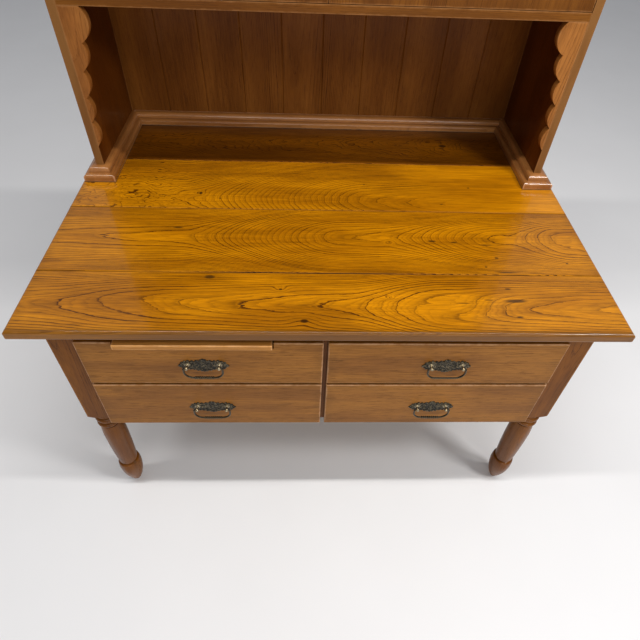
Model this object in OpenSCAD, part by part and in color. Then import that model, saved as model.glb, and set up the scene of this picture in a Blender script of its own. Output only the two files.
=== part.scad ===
// Bakers cabinet: a table with drawers and a pull-out bread board, and a cupboard standing on its top.
// Millimetres, +Z up, front towards -Y. Inside the modules Y runs back from the top's front edge.

/* [Table top] */
// Width of the top
top_w = 1300; // [1200:5:1500]
// Depth of the top
top_d = 890; // [840:5:1000]
// Thickness of the top boards
top_t = 26; // [20:1:34]
// Height of the top's upper face above the floor
table_h = 740; // [700:1:800]
// Width of the front board
board_1 = 181; // [150:1:220]
// Width of the second board
board_2 = 240; // [200:1:260]
// Width of the third board
board_3 = 231; // [200:1:250]
// Rounding of the top's outer edges
nosing_r = 7; // [3:0.5:9]
// Easing of the boards at their joints
joint_ease = 1.2; // [0.5:0.1:2]

/* [Case and legs] */
// How far the posts stand in from the top's ends
case_inset = 65; // [56:1:90]
// How far the posts stand back from the top's front edge
front_setback = 20; // [14:1:40]
// How far the case stands in from the top's back edge
back_setback = 20; // [0:1:60]
// Side of the square posts
post = 62; // [50:1:76]
// Height of the turned part of the legs
leg_h = 386; // [360:1:420]
// Thickness of the side and back panels
panel_t = 16; // [10:1:20]
// How far the panels lie in from the posts' outer faces
panel_inset = 8; // [4:1:14]
// Depth of the panels' tongues in the posts
tongue = 8; // [4:1:12]
// Thickness of the centre partition
partition_t = 20; // [16:1:24]
// Height of the top rails
top_rail_h = 34; // [31:1:38]
// Height of the middle and bottom rails
rail_h = 18; // [14:1:24]
// Length of the rails' tenons in the posts
tenon_l = 12; // [6:1:16]
// Shoulder round each tenon
tenon_shoulder = 4; // [2:0.5:6]
// Depth of the rails' stubs in the partition
stub_l = 6; // [3:1:7]
// Width of the drawer runners in front view
runner_w = 24; // [16:1:30]
// Height of the guides beside the drawers
guide_h = 20; // [12:1:30]

/* [Turned leg] */
// Radius of the vase at its fullest
vase_r = 29.7; // [24:0.1:30]
// Radius of the vase at its upper end
shoulder_r = 25.5; // [20:0.1:28]
// Radius of the vase at its lower end
waist_r = 25; // [20:0.1:26]
// Height of the vase's fullest ring, as a share of its length
vase_share = 0.74; // [0.6:0.01:0.85]
// Radius of the foot at its fullest
ball_r = 30.8; // [26:0.1:31]
// Height of the foot's fullest ring above the floor
ball_z = 96; // [84:1:104]
// Height of the whole foot
foot_h = 120; // [112:1:128]
// Radius of the foot where it stands on the floor
pad_r = 9; // [8:0.1:14]
// Rounding of the foot's upper edge
foot_ease = 7; // [4:0.5:9]
// Radius of the neck between the post and the vase
neck_r = 23; // [18:0.1:24]
// Length of the neck over the beads
neck_h = 16; // [12:0.5:20]
// Radius of the upper bead's section
bead_1 = 10; // [6:0.1:11]
// Radius of the lower bead's section
bead_2 = 8.5; // [5:0.1:9]
// Width of the fillets between the turned forms
fillet = 4; // [2.5:0.1:5]

/* [Drawer fronts] */
// Height of the upper fronts
upper_front_h = 145; // [140:1:150]
// Height of the lower fronts
lower_front_h = 166; // [150:1:170]
// Gap between the top and the upper fronts
front_top_gap = 16; // [12:0.5:20]
// Gap between the upper and the lower fronts
front_gap = 7; // [4:0.5:12]
// Gap between the left and the right fronts
centre_gap = 10; // [6:0.5:16]
// How far the fronts lap over the posts
lap = 4.5; // [3:0.5:12]
// Thickness of the lip that laps the case
lip_t = 12; // [9:0.5:14]
// Thickness of the front behind its lip
core_t = 8; // [6:0.5:12]
// Rounding of the lip's edges
lip_r = 3; // [2:0.5:6]

/* [Drawer boxes] */
// Thickness of the sides and the back
side_t = 12; // [10:0.5:16]
// Length of the box behind the lip
box_l = 700; // [600:5:740]
// Clearance on each side of a box
side_gap = 1.5; // [0.8:0.1:3]
// Clearance above a box
headroom = 7; // [4:0.5:12]
// Thickness of the drawer bottoms
bottom_t = 6; // [4:0.5:8]
// Height of the bottoms above the sides' lower edge
bottom_up = 9; // [6:0.5:12]
// Depth of the grooves that hold the bottoms
groove = 5; // [3:0.5:6]
// Number of dovetails at each corner
tails = 4; // [3:1:5]
// Length of the dovetails
tail_l = 12; // [8:0.5:14]

/* [Bread board] */
// Distance from the drawer front's outer end to the bread board
bread_outer = 81.5; // [70:0.5:110]
// Distance from the bread board to the drawer front's inner end
bread_inner = 109; // [90:0.5:130]
// Length of the bread board
bread_l = 470; // [400:5:560]
// Thickness of the bread board
bread_t = 15; // [12:0.5:17]
// Gap between the top and the bread board
bread_drop = 15; // [12:0.5:17]
// How far its edge stands in front of the drawer fronts
bread_proud = 8.5; // [4:0.5:14]
// Clearance round it in the notched front
notch_gap = 3; // [2:0.5:5]
// Width of the ledges that carry it
ledge_w = 12; // [8:1:18]
// Thickness of the ledges
ledge_t = 6; // [4:0.5:6.5]
// Width of the guides beside it
bread_guide_w = 18; // [14:1:24]
// How far the guides run on behind it
bread_guide_l = 60; // [40:5:120]

/* [Pulls] */
// Distance between the posts of a pull
pull_centres = 70; // [60:1:80]
// Length of a backplate
plate_w = 113; // [104:1:120]
// Height of a backplate
plate_h = 47; // [42:0.5:50]
// Thickness of a backplate
plate_t = 1.6; // [1:0.1:2.5]
// Height of the posts' middle above the backplate's middle
post_up = 4; // [2:0.5:8]
// Distance from the drawer front to the bail's axis
pivot_out = 12.8; // [11:0.1:15]
// Radius of the posts' round heads
head_r = 4.2; // [3.8:0.1:4.6]
// Drop from the bail's axis to its grip
bail_drop = 33; // [30:1:40]
// Radius of the bail's rod
rod_r = 2.2; // [1.9:0.1:2.6]
// Radius of the beads on the grip
grip_r = 3.5; // [2.6:0.1:4]
// Radius of the bail's bends
bend_r = 20; // [14:0.5:22]
// Radius of the pins in the posts
pin_r = 1.7; // [1.2:0.1:2]
// How far the upper right pull sits to the right of its drawer's middle
upper_right_shift = 5; // [0:0.5:8]

/* [Upper part] */
// How far the side boards stand in from the top's ends
hutch_inset = 38; // [34:1:60]
// Depth from the front of the side boards to the back
hutch_d = 328; // [280:1:360]
// Thickness of the side boards
hutch_t = 20; // [16:1:24]
// Thickness of the back boarding
back_t = 9; // [6:0.5:12]
// Number of boards in the back
back_boards = 10; // [8:1:14]
// Height of the work space over the top
work_h = 430; // [360:1:480]
// Thickness of the cupboard's floor, shelf and top
shelf_t = 20; // [16:1:24]
// Clear height of the cupboard
cupboard_h = 600; // [480:5:700]
// Height of the shelf above the cupboard's floor
shelf_z = 290; // [200:5:340]
// Distance from the doors to the shelf
shelf_back = 6; // [3:0.5:20]

/* [Mouldings] */
// Projection of the base moulding's lower tier
tier_1 = 31; // [26:0.5:36]
// Height of the lower tier
tier_1_h = 20; // [14:0.5:24]
// Rounding of the lower tier
tier_1_r = 8; // [4:0.5:10]
// Projection of the upper tier
tier_2 = 18; // [12:0.5:22]
// Height of both tiers
base_h = 35; // [30:0.5:40]
// Rounding of the upper tier
tier_2_r = 10; // [6:0.5:10]
// Height of the cornice
cornice_h = 56; // [40:1:80]
// Projection of the cornice
cornice_out = 36; // [26:0.5:37]

/* [Brackets] */
// Height of the brackets' lower ends above the top
bracket_z = 106; // [80:1:140]
// How much lower the left bracket ends
bracket_low = 16; // [0:1:20]
// Thickness of the brackets
bracket_t = 19; // [12:1:24]
// Number of scallops
scallops = 5; // [4:1:7]
// How far each scallop stands out
scallop_out = 13; // [9:0.5:16]
// Width that a bracket grows to under the cupboard
bracket_w = 46; // [30:1:70]

/* [Doors] */
// Thickness of the doors
door_t = 20; // [16:1:24]
// Width of the stiles and rails
frame_w = 58; // [44:1:80]
// Thickness of the door panels
field_t = 8; // [5:0.5:10]
// Gap round the doors
door_gap = 1.5; // [1:0.1:3]
// Height of a hinge
hinge_h = 60; // [45:1:80]
// Distance from a door's end to its hinge
hinge_in = 80; // [50:5:140]
// Radius of the hinge barrels
barrel_r = 3.2; // [2.6:0.1:4]
// Radius of the hinge pins
hinge_pin_r = 1.5; // [1:0.1:1.8]
// Thickness of the hinge leaves
leaf_t = 1.5; // [1:0.1:2]
// Width of the hinge leaves on the doors
leaf_w = 24; // [18:1:30]
// Radius of the knobs
knob_r = 13; // [9:0.5:16]

/* [Hidden] */
$fn = 48;
// Glue line between joined pieces
joint_gap = 0.1;
// Running gap between sliding pieces
run_gap = 0.3;
// Radial clearance of pins in their holes
pin_gap = 0.08;
// Overshoot of cuts
eps = 1;

// Heights
under = table_h - top_t;
upper_front_z = under - front_top_gap - upper_front_h;
lower_front_z = upper_front_z - front_gap - lower_front_h;
mid_rail_z = upper_front_z - front_gap / 2 - rail_h / 2;
upper_floor = mid_rail_z + rail_h;
lower_floor = leg_h + rail_h;
top_rail_z = under - top_rail_h;
upper_box_h = top_rail_z - upper_floor - run_gap - headroom;
lower_box_h = mid_rail_z - lower_floor - run_gap - headroom;
bread_z = under - bread_drop - bread_t;

// Plan of the case
half_w = top_w / 2 - case_inset;
inner = half_w - post;
case_front = front_setback;
case_back = top_d - back_setback;
rail_back = case_front + post;
rear_post = case_back - post;
face = case_front - lip_t;
panel_out = half_w - panel_inset;
panel_in = panel_out - panel_t;
back_panel_y = case_back - panel_inset - panel_t;
leg_x = half_w - post / 2;
core_y = case_front + core_t;
box_back = case_front + box_l;

// Fronts and boxes, for the right-hand drawers
front_x0 = centre_gap / 2;
front_x1 = inner + lap;
box_x0 = partition_t / 2 + side_gap;
box_x1 = inner - side_gap;
pull_x = (front_x0 + front_x1) / 2;
bread_w = front_x1 - front_x0 - bread_outer - bread_inner;
bread_x = -front_x0 - bread_inner - bread_w / 2;
pivot_y = face - pivot_out;
upper_plate_z = upper_front_z + upper_front_h / 2 - 3;
lower_plate_z = lower_front_z + lower_front_h / 2 - 6.5;
arm_x = pull_centres / 2 + head_r + rod_r * 1.2 + 0.4;

// Upper part
hutch_half = top_w / 2 - hutch_inset;
hutch_in = hutch_half - hutch_t;
hutch_front = top_d - hutch_d;
hutch_back = top_d - back_t;
floor_z = table_h + work_h;
cup_z = floor_z + shelf_t;
cup_top = cup_z + cupboard_h;
side_top = cup_top + shelf_t;
door_w = hutch_in - 1.5 * door_gap;
door_z = cup_z + door_gap;
door_h = cupboard_h - 2 * door_gap;
hinge_x = hutch_in - door_gap / 2;
hinge_y = hutch_front - barrel_r - run_gap;
leaf_back = barrel_r + run_gap;
leaf_front = leaf_back - leaf_t;

// The origin lies on the floor, in the middle of the whole width and depth
front_reach = min(pivot_y - head_r, face - bread_proud, 0);
mid_y = (front_reach + top_d) / 2;

// Places children from the front-edge frame into the part's frame.
module place() {
    translate([0, -mid_y, 0])
        children();
}

// Mirrors children to the left-hand side where side is -1.
module on_side(side) {
    if (side < 0)
        mirror([1, 0, 0])
            children();
    else
        children();
}

// A block between two corners.
module block(x0, x1, y0, y1, z0, z1) {
    translate([x0, y0, z0])
        cube([x1 - x0, y1 - y0, z1 - z0]);
}

// Extrudes a (Y, Z) section along X, from x0 to x1.
module along_x(x0, x1) {
    translate([x0, 0, 0])
        rotate([90, 0, 90])
            linear_extrude(x1 - x0)
                children();
}

// Extrudes an (X, Z) section along Y, from y0 to y1.
module along_y(y0, y1) {
    translate([0, y1, 0])
        rotate([90, 0, 0])
            linear_extrude(y1 - y0)
                children();
}

// A rectangle with four rounded corners.
module rounded(w, h, r) {
    translate([r, 0])
        square([w - 2 * r, h]);
    translate([0, r])
        square([w, h - 2 * r]);
    for (x = [r, w - r], y = [r, h - r])
        translate([x, y])
            circle(r);
}

// A section of depth d and height h whose two front corners are rounded.
module nosed(d, h, r) {
    translate([0, r])
        square([d, h - 2 * r]);
    translate([r, 0])
        square([d - r, h]);
    for (z = [r, h - r])
        translate([r, z])
            circle(r);
}

// Table top

// The whole top with its rounded edges.
module top_blank() {
    intersection() {
        along_x(-top_w / 2, top_w / 2)
            translate([0, under])
                rounded(top_d, top_t, nosing_r);
        along_y(0, top_d)
            translate([-top_w / 2, under])
                rounded(top_w, top_t, nosing_r);
    }
}

// One board of the top, between two joints.
module top_board(y0, y1) {
    color("goldenrod")
    place()
    difference() {
        intersection() {
            top_blank();
            block(-top_w, top_w, y0, y1, under - eps, table_h + eps);
        }
        for (y = [board_1, board_1 + board_2, board_1 + board_2 + board_3])
            translate([-top_w / 2 - eps, y, table_h])
                rotate([45, 0, 0])
                    translate([0, -joint_ease, -joint_ease])
                        cube([top_w + 2 * eps, 2 * joint_ease, 2 * joint_ease]);
    }
}

// Legs and case

// A swelling on the turning's section.
// It is full wide at height z and tapers in one arc to radius r at height end.
module swell(full, z, end, r) {
    rise = abs(end - z);
    drop = full - r;
    arc_r = (rise * rise + drop * drop) / (2 * drop);
    intersection() {
        translate([0, min(z, end)])
            square([full, rise]);
        translate([full - arc_r, z])
            circle(arc_r, $fn = 1440);
    }
}

// The turned part of a leg, from the floor to the post.
module turning() {
    bead_1_z = leg_h - neck_h - bead_1;
    bead_2_z = bead_1_z - bead_1 - fillet - bead_2;
    vase_top = bead_2_z - bead_2 - fillet;
    vase_end = foot_h + fillet;
    fullest = vase_end + (vase_top - vase_end) * vase_share;
    foot_top = foot_h - foot_ease;
    rotate_extrude() {
        // Neck with its fillets
        translate([0, foot_top])
            square([neck_r, leg_h - foot_top]);
        for (z = [bead_1_z + bead_1 - 1, bead_2_z + bead_2 - 1])
            translate([0, z])
                square([neck_r + 2.5, fillet + 2]);
        // Beads
        for (b = [[bead_1, bead_1_z], [bead_2, bead_2_z]])
            translate([vase_r - b[0] + 0.5, b[1]])
                circle(b[0]);
        // Vase
        swell(vase_r, fullest, vase_top, shoulder_r);
        swell(vase_r, fullest, vase_end, waist_r);
        // Foot, with its upper edge rounded over
        swell(ball_r, ball_z, 0, pad_r);
        swell(ball_r, ball_z, foot_top, ball_r - 1.5);
        translate([ball_r - 1.5 - foot_ease, foot_top])
            circle(foot_ease);
        translate([0, foot_top - eps])
            square([ball_r - 1.5 - foot_ease, foot_ease + eps]);
    }
}

// A post with its turning, standing at the front right.
module leg_blank() {
    translate([leg_x, case_front + post / 2, 0]) {
        turning();
        intersection() {
            translate([-post / 2, -post / 2, leg_h - eps / 2])
                cube([post, post, under - leg_h + eps / 2]);
            rotate_extrude()
                polygon([[0, leg_h - eps / 2], [post * 0.56, leg_h - eps / 2],
                    [post * 0.75, leg_h + post * 0.1], [post * 0.75, under], [0, under]]);
        }
    }
}

// A leg; front is 1 for a front leg and -1 for a rear one.
module leg(side, front) {
    color("saddlebrown")
    place()
    on_side(side)
    difference() {
        if (front > 0)
            leg_blank();
        else
            translate([0, case_front + case_back, 0])
                mirror([0, 1, 0])
                    leg_blank();
        side_panel_blank(joint_gap);
        if (front > 0)
            for (z = [top_rail_z, mid_rail_z, leg_h])
                rail_tenon(z, z == top_rail_z ? top_rail_h : rail_h, joint_gap);
        else
            back_panel_blank(joint_gap);
    }
}

// The right-hand side panel with its tongues; g is the clearance of a cut made for it.
module side_panel_blank(g = 0) {
    block(panel_in - g, panel_out + g, rail_back - tongue - g, rear_post + tongue + g,
        leg_h + 4 - g, under + g);
}

// The back panel with its tongues.
module back_panel_blank(g = 0) {
    block(-inner - tongue - g, inner + tongue + g, back_panel_y - g, back_panel_y + panel_t + g,
        leg_h + 4 - g, under + g);
}

module side_panel(side) {
    color("peru")
    place()
    on_side(side)
        side_panel_blank();
}

module back_panel() {
    color("peru")
    place()
    difference() {
        back_panel_blank();
        partition_blank(joint_gap);
    }
}

// The centre partition, let into the back panel.
module partition_blank(g = 0) {
    block(-partition_t / 2 - g, partition_t / 2 + g, case_front, back_panel_y + 5 + g, leg_h - g, under + g);
}

module partition() {
    color("sienna")
    place()
    difference() {
        partition_blank();
        for (side = [-1, 1])
            on_side(side)
                for (z = [top_rail_z, mid_rail_z, leg_h])
                    rail_stub(z, z == top_rail_z ? top_rail_h : rail_h, joint_gap);
    }
}

// Tenon of a rail in the right-hand post.
module rail_tenon(z, h, g = 0) {
    s = tenon_shoulder;
    block(inner - eps, inner + tenon_l + g, case_front + 2 * s - g, rail_back - 2 * s + g,
        z + s - g, z + h - s + g);
}

// Stub of a rail in the partition.
module rail_stub(z, h, g = 0) {
    s = tenon_shoulder;
    x = partition_t / 2;
    block(x - stub_l - g, x + eps, case_front + 2 * s - g, rail_back - 2 * s + g, z + s - g, z + h - s + g);
}

// The right-hand half of a rail.
module half_rail(z, h) {
    block(partition_t / 2, inner, case_front, rail_back, z, z + h);
    rail_tenon(z, h);
    rail_stub(z, h);
}

module rail(z, h) {
    color("burlywood")
    place()
    for (side = [-1, 1])
        on_side(side)
            half_rail(z, h);
}

module rail_top() {
    color("burlywood")
    place()
    difference() {
        for (side = [-1, 1])
            on_side(side)
                half_rail(top_rail_z, top_rail_h);
        block(bread_x - bread_w / 2 - side_gap, bread_x + bread_w / 2 + side_gap, case_front - eps,
            rail_back + eps, top_rail_z - eps, bread_z + bread_t + run_gap);
    }
}

// Runners under the boxes, guides beside them and kickers above the upper ones.
module runners() {
    color("burlywood")
    place()
    for (side = [-1, 1])
        on_side(side) {
            for (z = [leg_h, mid_rail_z]) {
                block(inner - runner_w, panel_in, rail_back, rear_post, z, z + rail_h);
                block(inner, panel_in, rail_back, rear_post, z + rail_h - eps, z + rail_h + guide_h);
                block(partition_t / 2, partition_t / 2 + runner_w, rail_back, back_panel_y, z, z + rail_h);
            }
            block(inner - runner_w, panel_in, rail_back, rear_post, top_rail_z, under);
            block(partition_t / 2, partition_t / 2 + runner_w, rail_back, back_panel_y, top_rail_z, under);
        }
}

// Drawers

// A dovetail's outline in (Y, Z), pointing to -Y from the origin.
module tail(w, g) {
    polygon([[0, -w * 0.36 - g], [-tail_l - g, -w * 0.5 + 0.5 - g], [-tail_l - g, w * 0.5 - 0.5 + g],
        [0, w * 0.36 + g]]);
}

// All dovetails of one side; h is the side's height.
module tail_row(h, g = 0) {
    pitch = h / tails;
    translate([core_y, 0])
        for (i = [0:tails - 1])
            translate([0, (i + 0.5) * pitch])
                tail(pitch * 0.78, g);
}

// Drawer bottom, held in grooves; z is the height of the box's lower edge.
module bottom_blank(z, g = 0) {
    block(box_x0 + side_t - groove - g, box_x1 - side_t + groove + g, core_y - groove - g, box_back - 2 + g,
        z + bottom_up - g, z + bottom_up + bottom_t + g);
}

// A right-hand drawer's front; z and h are the front's, box_z and box_h the box's.
module front_blank(z, h, box_z, box_h) {
    difference() {
        union() {
            intersection() {
                along_x(front_x0, front_x1)
                    translate([face, z])
                        nosed(lip_t, h, lip_r);
                translate([front_x0, face, z - eps])
                    linear_extrude(h + 2 * eps)
                        mirror([1, -1])
                            nosed(lip_t, front_x1 - front_x0, lip_r);
            }
            block(box_x0, box_x1, case_front - eps, core_y, box_z, box_z + box_h);
        }
        for (x = [box_x0 - eps, box_x1 - side_t - joint_gap])
            along_x(x, x + side_t + joint_gap + eps)
                translate([0, box_z])
                    tail_row(box_h, joint_gap);
        bottom_blank(box_z, joint_gap);
    }
}

// The sides and the back of a right-hand drawer.
module box_blank(z, h) {
    for (x = [box_x0, box_x1 - side_t])
        difference() {
            along_x(x, x + side_t)
                translate([0, z]) {
                    translate([core_y + joint_gap, 0])
                        square([box_back - core_y - joint_gap, h]);
                    tail_row(h);
                    translate([core_y - 0.5, 0])
                        intersection() {
                            translate([0.5 - tail_l, 0])
                                square([tail_l + joint_gap, h]);
                            for (i = [0:tails - 1])
                                translate([0, (i + 0.5) * h / tails - h / tails * 0.28])
                                    square([1, h / tails * 0.56]);
                        }
                }
            bottom_blank(z, joint_gap);
        }
    block(box_x0 + side_t + joint_gap, box_x1 - side_t - joint_gap, box_back - side_t - 4, box_back - 4,
        z + bottom_up + bottom_t + joint_gap, z + h - 3);
}

upper_box_z = upper_floor + run_gap;
lower_box_z = lower_floor + run_gap;

module drawer_front(side, upper, notched = false) {
    color("chocolate")
    place()
    difference() {
        on_side(side)
            if (upper)
                front_blank(upper_front_z, upper_front_h, upper_box_z, upper_box_h);
            else
                front_blank(lower_front_z, lower_front_h, lower_box_z, lower_box_h);
        if (notched)
            block(bread_x - bread_w / 2 - notch_gap, bread_x + bread_w / 2 + notch_gap,
                face - eps, core_y + eps, bread_z - notch_gap, under);
    }
}

module drawer_box(side, upper) {
    color("wheat")
    place()
    on_side(side)
        if (upper)
            box_blank(upper_box_z, upper_box_h);
        else
            box_blank(lower_box_z, lower_box_h);
}

module drawer_bottom(side, upper) {
    color("tan")
    place()
    on_side(side)
        bottom_blank(upper ? upper_box_z : lower_box_z);
}

// Bread board

module bread_board() {
    color("orange")
    place()
    along_x(bread_x - bread_w / 2, bread_x + bread_w / 2)
        translate([face - bread_proud, bread_z])
            nosed(bread_l, bread_t, 3);
}

// The guide at the bread board's right edge, in the board's own middle frame.
module bread_guide() {
    edge = bread_w / 2;
    end = face + bread_l + bread_guide_l;
    block(edge + side_gap, edge + side_gap + bread_guide_w, rail_back, end,
        bread_z - run_gap - ledge_t, under);
    block(edge - ledge_w, edge + side_gap + eps, rail_back, end,
        bread_z - run_gap - ledge_t, bread_z - run_gap);
}

module bread_guides() {
    color("burlywood")
    place()
    translate([bread_x, 0, 0])
        for (side = [-1, 1])
            on_side(side)
                bread_guide();
}

// Pulls

// Half of a backplate's outline, from its middle to its pointed end.
module plate_half() {
    post_x = pull_centres / 2;
    top = plate_h / 2;
    // Body, with its crest above and its point below
    polygon([[0, -top], [8, -top * 0.82], [22, -top * 0.6], [post_x, -top * 0.56], [post_x, top * 0.62],
        [24, top * 0.56], [9, top * 0.74], [4, top * 0.82], [0, top]]);
    // Ear round the post and the leaf at its end
    translate([post_x + 1, 1])
        circle(plate_h * 0.31);
    translate([plate_w / 2 - 9, -1])
        circle(6.5);
    translate([plate_w / 2 - 6, -1])
        rotate(45)
            square(6 * sqrt(2), center = true);
    // Curls along the edge
    for (c = [[4, top - 4.5, 3], [14, top * 0.62, 4], [24, top * 0.6, 3.5], [33, top * 0.68, 3],
        [45, top * 0.4, 3.5], [44, -top * 0.42, 3.5], [31, -top * 0.53, 3], [17, -top * 0.62, 3.5]])
        translate([c[0], c[1]])
            circle(c[2]);
}

// A backplate's outline.
module plate_outline() {
    for (side = [-1, 1])
        mirror([side < 0 ? 1 : 0, 0])
            plate_half();
}

// A pull at the middle of a right-hand front; z is the height of its backplate's middle.
module plate_blank(z) {
    translate([pull_x, 0, z]) {
        along_y(face - plate_t, face)
            plate_outline();
        // Rosette
        for (ring = [[9, 0.6], [6.5, 1.1], [3, 1.7]])
            translate([0, face - plate_t / 2, 0])
                rotate([90, 0, 0])
                    cylinder(r = ring[0], h = plate_t / 2 + ring[1]);
        difference() {
            for (x = [-pull_centres / 2, pull_centres / 2])
                translate([x, face - plate_t / 2, post_up])
                    rotate([90, 0, 0]) {
                        cylinder(r = head_r * 1.9, h = plate_t);
                        cylinder(r = head_r * 1.25, h = plate_t + 1.6);
                        cylinder(r = head_r * 0.62, h = pivot_out - plate_t / 2);
                        translate([0, 0, pivot_out - plate_t / 2])
                            sphere(head_r);
                    }
            translate([-plate_w / 2, pivot_y, post_up])
                rotate([0, 90, 0])
                    cylinder(r = pin_r + pin_gap, h = plate_w);
        }
    }
}

module pull_plate(side, z, shift = 0) {
    color("darkolivegreen")
    place()
    on_side(side)
        translate([shift, 0, 0])
            plate_blank(z);
}

// A hanging bail, with its axis through the origin along X.
module bail_shape(beaded) {
    pin_x = pull_centres / 2 - head_r * 0.7;
    core_l = 1.5;
    // Grip, turned as one piece where it has beads and tapers
    translate([bend_r - arm_x, 0, -bail_drop])
        rotate([0, 90, 0])
            if (beaded)
                rotate_extrude()
                    grip_section(arm_x - bend_r);
            else
                cylinder(r = rod_r, h = 2 * (arm_x - bend_r));
    for (side = [-1, 1])
        on_side(side) {
            // Cores through the two ends of the bend
            translate([arm_x - bend_r - core_l, 0, -bail_drop])
                rotate([0, 90, 0])
                    cylinder(r = rod_r * 0.9, h = 2 * core_l);
            translate([arm_x, 0, bend_r - bail_drop - core_l])
                cylinder(r = rod_r * 0.9, h = 2 * core_l);
            // Pin in the post, and the ball that joins it to the arm
            translate([pin_x, 0, 0])
                rotate([0, 90, 0])
                    cylinder(r = pin_r, h = arm_x - pin_x);
            translate([arm_x, 0, 0])
                sphere(rod_r * 1.2);
            // Arm and bend
            translate([arm_x, 0, -bail_drop + bend_r])
                cylinder(r = rod_r, h = bail_drop - bend_r);
            translate([arm_x - bend_r, 0, -bail_drop + bend_r])
                rotate([90, 90, 0])
                    rotate_extrude(angle = 90)
                        translate([bend_r, 0])
                            circle(rod_r);
        }
}

// Section of the grip, from its axis outwards; its middle is at Y = half.
module grip_section(half) {
    step = (half - grip_r * 0.8) / 4;
    square([rod_r, 2 * half]);
    translate([0, half])
        intersection() {
            translate([0, -half])
                square([grip_r, 2 * half]);
            for (i = [-4:4])
                translate([0, i * step])
                    circle(grip_r);
        }
}

module bail(side, z, beaded = true, shift = 0) {
    color("darkolivegreen")
    place()
    on_side(side)
        translate([pull_x + shift, pivot_y, z + post_up])
            bail_shape(beaded);
}

// Upper part

module hutch_side_blank(g = 0) {
    block(hutch_in - g, hutch_half + g, hutch_front - g, top_d, table_h - g, side_top + g);
}

module hutch_side(side) {
    color("peru")
    place()
    on_side(side)
        hutch_side_blank();
}

module hutch_back() {
    w = 2 * hutch_in;
    color("sienna")
    place()
    difference() {
        block(-hutch_in, hutch_in, hutch_back, top_d, table_h, side_top);
        for (i = [1:back_boards - 1])
            translate([-hutch_in + i * w / back_boards, hutch_back, table_h - eps])
                rotate([0, 0, 45])
                    translate([-1.5, -1.5, 0])
                        cube([3, 3, side_top - table_h + 2 * eps]);
    }
}

// Section of the base moulding: X is its projection from the board that carries it.
module base_section() {
    square([tier_1 - tier_1_r, tier_1_h]);
    square([tier_1, tier_1_h - tier_1_r]);
    square([tier_2 - tier_2_r, base_h]);
    square([tier_2, base_h - tier_2_r]);
    intersection() {
        square([tier_1, base_h]);
        union() {
            translate([tier_1 - tier_1_r, tier_1_h - tier_1_r])
                circle(tier_1_r);
            translate([tier_2 - tier_2_r, base_h - tier_2_r])
                circle(tier_2_r);
        }
    }
}

// The solid of the base moulding round the right-hand side board; g is the clearance of a cut made for it.
module base_ring(g = 0) {
    translate([-g, 0, 0])
        intersection() {
            along_y(hutch_front - tier_1 - g, top_d)
                translate([hutch_in, table_h]) {
                    square([hutch_t, base_h + g]);
                    translate([hutch_t, 0])
                        base_section();
                    mirror([1, 0])
                        base_section();
                }
            along_x(hutch_in - tier_1 - g, hutch_half + tier_1 + g)
                translate([hutch_front, table_h]) {
                    square([hutch_d, base_h + g]);
                    mirror([1, 0])
                        base_section();
                }
        }
}

module base_moulding(side) {
    color("rosybrown")
    place()
    on_side(side)
    difference() {
        base_ring();
        hutch_side_blank(joint_gap);
        block(0, hutch_in, hutch_back - joint_gap, top_d + eps, table_h - eps, side_top);
    }
}

module base_moulding_back() {
    color("rosybrown")
    place()
    difference() {
        along_x(-hutch_in, hutch_in)
            translate([hutch_back, table_h])
                mirror([1, 0])
                    base_section();
        for (side = [-1, 1])
            on_side(side)
                base_ring(joint_gap);
    }
}

// A scalloped bracket at the right-hand side board.
module bracket(side) {
    low_end = side < 0 ? bracket_z - bracket_low : bracket_z;
    length = work_h - low_end;
    pitch = length / scallops;
    chord_r = (pitch * pitch / 4 + scallop_out * scallop_out) / (2 * scallop_out);
    color("peru")
    place()
    on_side(side)
        along_y(hutch_front, hutch_front + bracket_t)
            translate([hutch_in, table_h + low_end])
                intersection() {
                    translate([-hutch_in, 0])
                        square([hutch_in, length]);
                    for (i = [0:scallops - 1]) {
                        base = bracket_w * pow(i / (scallops - 1), 2);
                        translate([-base, i * pitch])
                            square([base + eps, pitch]);
                        translate([-base - scallop_out + chord_r, (i + 0.5) * pitch])
                            circle(chord_r);
                    }
                }
}

module cupboard_floor() {
    color("peru")
    place()
        block(-hutch_in, hutch_in, hutch_front, hutch_back, floor_z, cup_z);
}

module cupboard_shelf() {
    color("burlywood")
    place()
        block(-hutch_in, hutch_in, hutch_front + door_t + shelf_back, hutch_back,
            cup_z + shelf_z, cup_z + shelf_z + shelf_t);
}

module cupboard_top() {
    color("peru")
    place()
        block(-hutch_in, hutch_in, hutch_front, hutch_back, cup_top, side_top);
}

// Section of the cornice: X is its projection.
module cornice_section() {
    c = cornice_out;
    square([c * 0.34, cornice_h]);
    translate([0, cornice_h * 0.78])
        square([c, cornice_h * 0.22]);
    difference() {
        translate([0, cornice_h * 0.2])
            square([c * 0.86, cornice_h * 0.7]);
        translate([c * 0.95, cornice_h * 0.2])
            circle(c * 0.61);
    }
}

module cornice() {
    z = cup_top + 4;
    color("rosybrown")
    place()
    difference() {
        intersection() {
            along_y(hutch_front - cornice_out, top_d)
                translate([0, z]) {
                    translate([-hutch_half, 0])
                        square([2 * hutch_half, cornice_h]);
                    translate([hutch_half, 0])
                        cornice_section();
                    mirror([1, 0])
                        translate([hutch_half, 0])
                            cornice_section();
                }
            along_x(-hutch_half - cornice_out, hutch_half + cornice_out)
                translate([hutch_front, z]) {
                    square([hutch_d, cornice_h]);
                    mirror([1, 0])
                        cornice_section();
                }
        }
        block(-hutch_half, hutch_half, hutch_front, top_d + eps, z - eps, z + cornice_h + eps);
    }
}

// Doors

// The left-hand edge of the right-hand door.
door_x0 = door_gap / 2;
door_x1 = door_x0 + door_w;

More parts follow.
